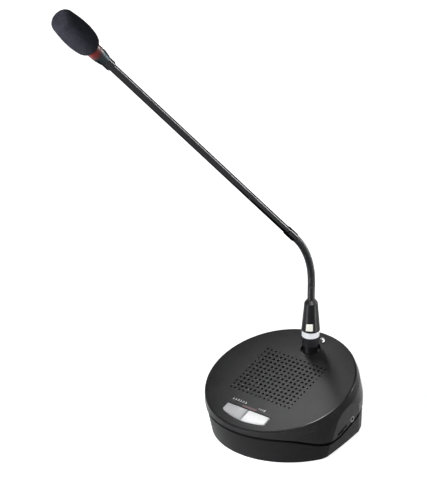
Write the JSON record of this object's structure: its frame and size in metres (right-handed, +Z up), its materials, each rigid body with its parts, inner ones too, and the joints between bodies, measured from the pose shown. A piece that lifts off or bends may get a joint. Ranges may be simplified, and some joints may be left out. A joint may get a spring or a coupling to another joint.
{
  "type": "conference microphone unit",
  "caption": "Round desk microphone base with a tilted loudspeaker deck and press keys, and a plug-in gooseneck microphone with lamp ring and foam windscreen.",
  "frame": {"origin": "on the desk, straight below the centre of the tilted deck, in the plane of the rubber foot", "axes": "+Z up, +X to the unit's right, +Y to its back; the keys face -Y"},
  "size_m": [0.1605, 0.3162, 0.4911],
  "materials": {
    "shell": "fine moulded texture, satin",
    "rubber": "matte",
    "steel": "plated",
    "battery": "wrapped pack",
    "board": "solder mask",
    "component": "moulded",
    "speaker": "pressed and painted",
    "speaker_paper": "pressed paper",
    "cloth": "woven",
    "key_grey": "satin",
    "key_white": "satin",
    "indicator": "tinted window",
    "socket": "moulded",
    "contact": "gold plated",
    "tab": "silver grey",
    "barrel": "satin nickel",
    "collar": "ribbed",
    "band": "pale",
    "boot": "semi gloss",
    "neck": "black, finely wound",
    "stem": "black, satin",
    "head": "satin",
    "lamp": "red tinted, unlit",
    "capsule": "satin",
    "foam": "open cell foam"
  },
  "bodies": {
    "base": {"top_cover": "shell", "bottom_shell": "shell", "rubber_foot": "rubber", "case_screws": "steel", "battery_pack": "battery", "battery_cover": "shell", "cover_screw": "steel", "main_board": "board", "volume_pot": "component", "earphone_jack": "component", "speaker_frame": "speaker", "speaker_cone": "speaker_paper", "speaker_magnet": "steel", "grille_cloth": "cloth", "key_board": "board", "tact_switches": "component", "indicator_window": "indicator", "indicator_led": "indicator", "mic_socket": "socket", "socket_insert": "socket", "socket_contacts": "contact"},
    "key_priority": {"key_priority": "key_grey"},
    "key_talk": {"key_talk": "key_white"},
    "volume_wheel": {"volume_wheel": "socket"},
    "release_tab": {"release_tab": "tab"},
    "mic_plug": {"plug_barrel": "barrel", "plug_pins": "contact", "plug_collar": "collar", "plug_band": "band", "plug_boot": "boot", "gooseneck_link_1": "neck"},
    "neck_link_2": {"gooseneck_link_2": "neck"},
    "neck_link_3": {"gooseneck_link_3": "neck"},
    "neck_link_4": {"gooseneck_link_4": "neck"},
    "neck_link_5": {"gooseneck_link_5": "neck"},
    "neck_link_6": {"gooseneck_link_6": "neck"},
    "neck_link_7": {"gooseneck_link_7": "neck"},
    "neck_link_8": {"gooseneck_link_8": "neck"},
    "stem": {"stem_coupling": "stem", "stem_tube": "stem", "neck_sleeve": "stem", "neck_cone": "head", "lamp_ring": "lamp", "mic_capsule": "capsule", "windscreen": "foam"}
  },
  "joints": [
    {"name": "key_priority_press", "type": "slide", "parent": "base", "child": "key_priority", "axis": [0, 0.2874, -0.9578], "range_m": [0, 0.0008], "stiffness_N_per_m": 500, "springref_m": -0.0012},
    {"name": "key_talk_press", "type": "slide", "parent": "base", "child": "key_talk", "axis": [0, 0.2874, -0.9578], "range_m": [0, 0.0008], "stiffness_N_per_m": 500, "springref_m": -0.0012},
    {"name": "volume_turn", "type": "hinge", "parent": "base", "child": "volume_wheel", "pos_m": [0.06333, 0.00481, 0.02387], "axis": [0, -0.2874, 0.9578], "range_deg": [-140, 140]},
    {"name": "release_press", "type": "slide", "parent": "base", "child": "release_tab", "axis": [0, 0, -1], "range_m": [0, 0.0012], "stiffness_N_per_m": 500, "springref_m": -0.0012},
    {"name": "mic_unplug", "type": "slide", "parent": "base", "child": "mic_plug", "axis": [0, 0, 1], "range_m": [0, 0.02]},
    {"name": "gooseneck_bend", "type": "hinge", "parent": "mic_plug", "child": "neck_link_2", "pos_m": [0, 0.048, 0.13556], "axis": [0.9659, -0.2588, 0], "range_deg": [-10.7, 12]},
    {"name": "gooseneck_sway", "type": "hinge", "parent": "neck_link_2", "child": "neck_link_3", "pos_m": [0, 0.048, 0.14518], "axis": [0.2587, 0.9655, 0.0295], "range_deg": [-10, 10]},
    {"name": "gooseneck_bend_2", "type": "hinge", "parent": "neck_link_3", "child": "neck_link_4", "pos_m": [-0.00015, 0.04745, 0.15479], "axis": [0.9659, -0.2588, 0], "range_deg": [-10.7, 12]},
    {"name": "gooseneck_sway_2", "type": "hinge", "parent": "neck_link_4", "child": "neck_link_5", "pos_m": [-0.0006, 0.04576, 0.16425], "axis": [0.251, 0.9369, 0.2432], "range_deg": [-10, 10]},
    {"name": "gooseneck_bend_3", "type": "hinge", "parent": "neck_link_5", "child": "neck_link_6", "pos_m": [-0.00136, 0.04294, 0.17342], "axis": [0.9659, -0.2588, 0], "range_deg": [-10.7, 12]},
    {"name": "gooseneck_sway_3", "type": "hinge", "parent": "neck_link_6", "child": "neck_link_7", "pos_m": [-0.0024, 0.03904, 0.18216], "axis": [0.2278, 0.8502, 0.4747], "range_deg": [-10, 10]},
    {"name": "gooseneck_bend_4", "type": "hinge", "parent": "neck_link_7", "child": "neck_link_8", "pos_m": [-0.00372, 0.03413, 0.19034], "axis": [0.9659, -0.2588, 0], "range_deg": [-10.7, 12]},
    {"name": "gooseneck_sway_4", "type": "hinge", "parent": "neck_link_8", "child": "stem", "pos_m": [-0.00529, 0.02827, 0.19781], "axis": [0.1959, 0.731, 0.6536], "range_deg": [-10, 10]}
  ]
}
